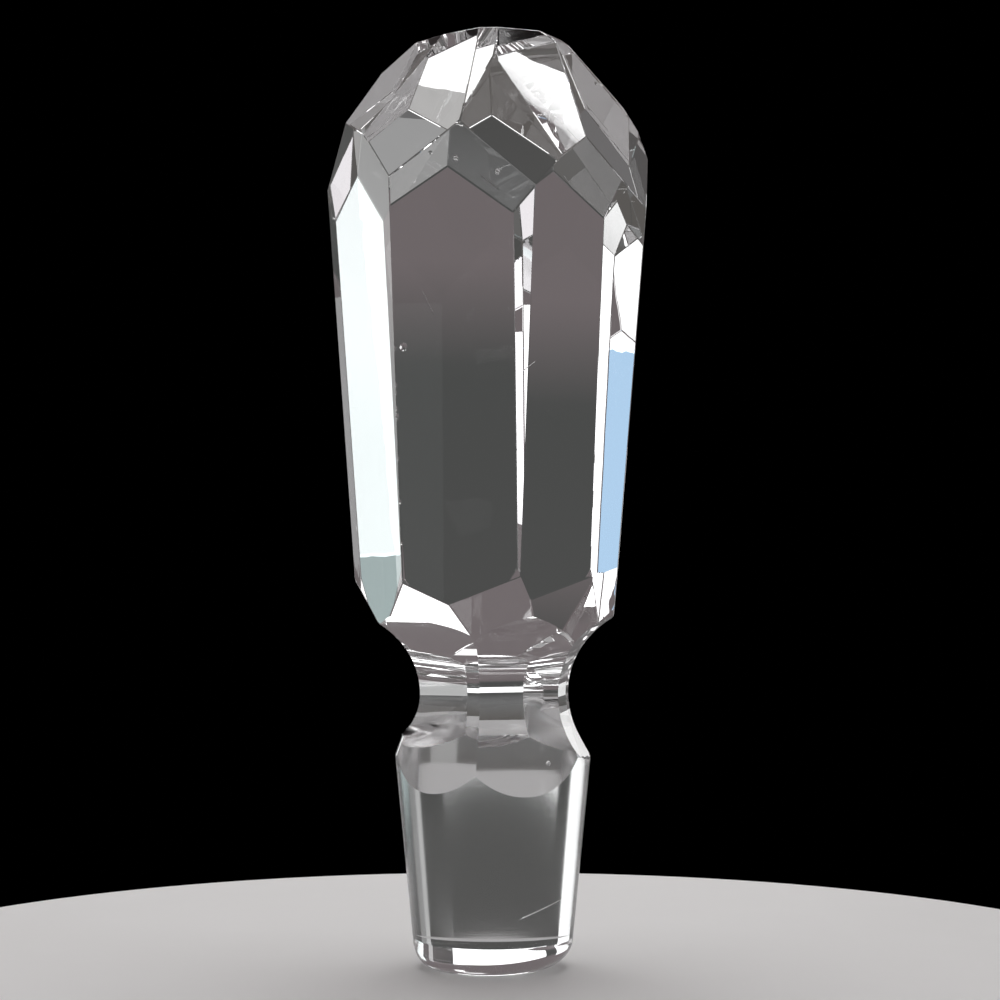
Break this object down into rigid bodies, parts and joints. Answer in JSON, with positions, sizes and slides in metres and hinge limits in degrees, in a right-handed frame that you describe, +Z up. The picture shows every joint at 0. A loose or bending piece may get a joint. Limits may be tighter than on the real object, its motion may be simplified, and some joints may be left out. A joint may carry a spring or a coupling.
{
  "type": "decanter stopper",
  "caption": "Solid clear crystal decanter stopper: flaring faceted head with a kite-cut crown, a fluted neck and a tapered ground plug with a flat foot.",
  "frame": {"origin": "centre of the flat foot of the plug, on the plug's axis", "axes": "+Z up along the plug's axis, towards the table of the head; -Y is the front, which shows the widest face on its left; +X is to the right"},
  "size_m": [0.035, 0.032, 0.0985],
  "materials": {
    "crystal": "polished clear lead crystal, with the plug finely ground and polished"
  },
  "bodies": {
    "root": {"stopper": "crystal"}
  },
  "joints": []
}
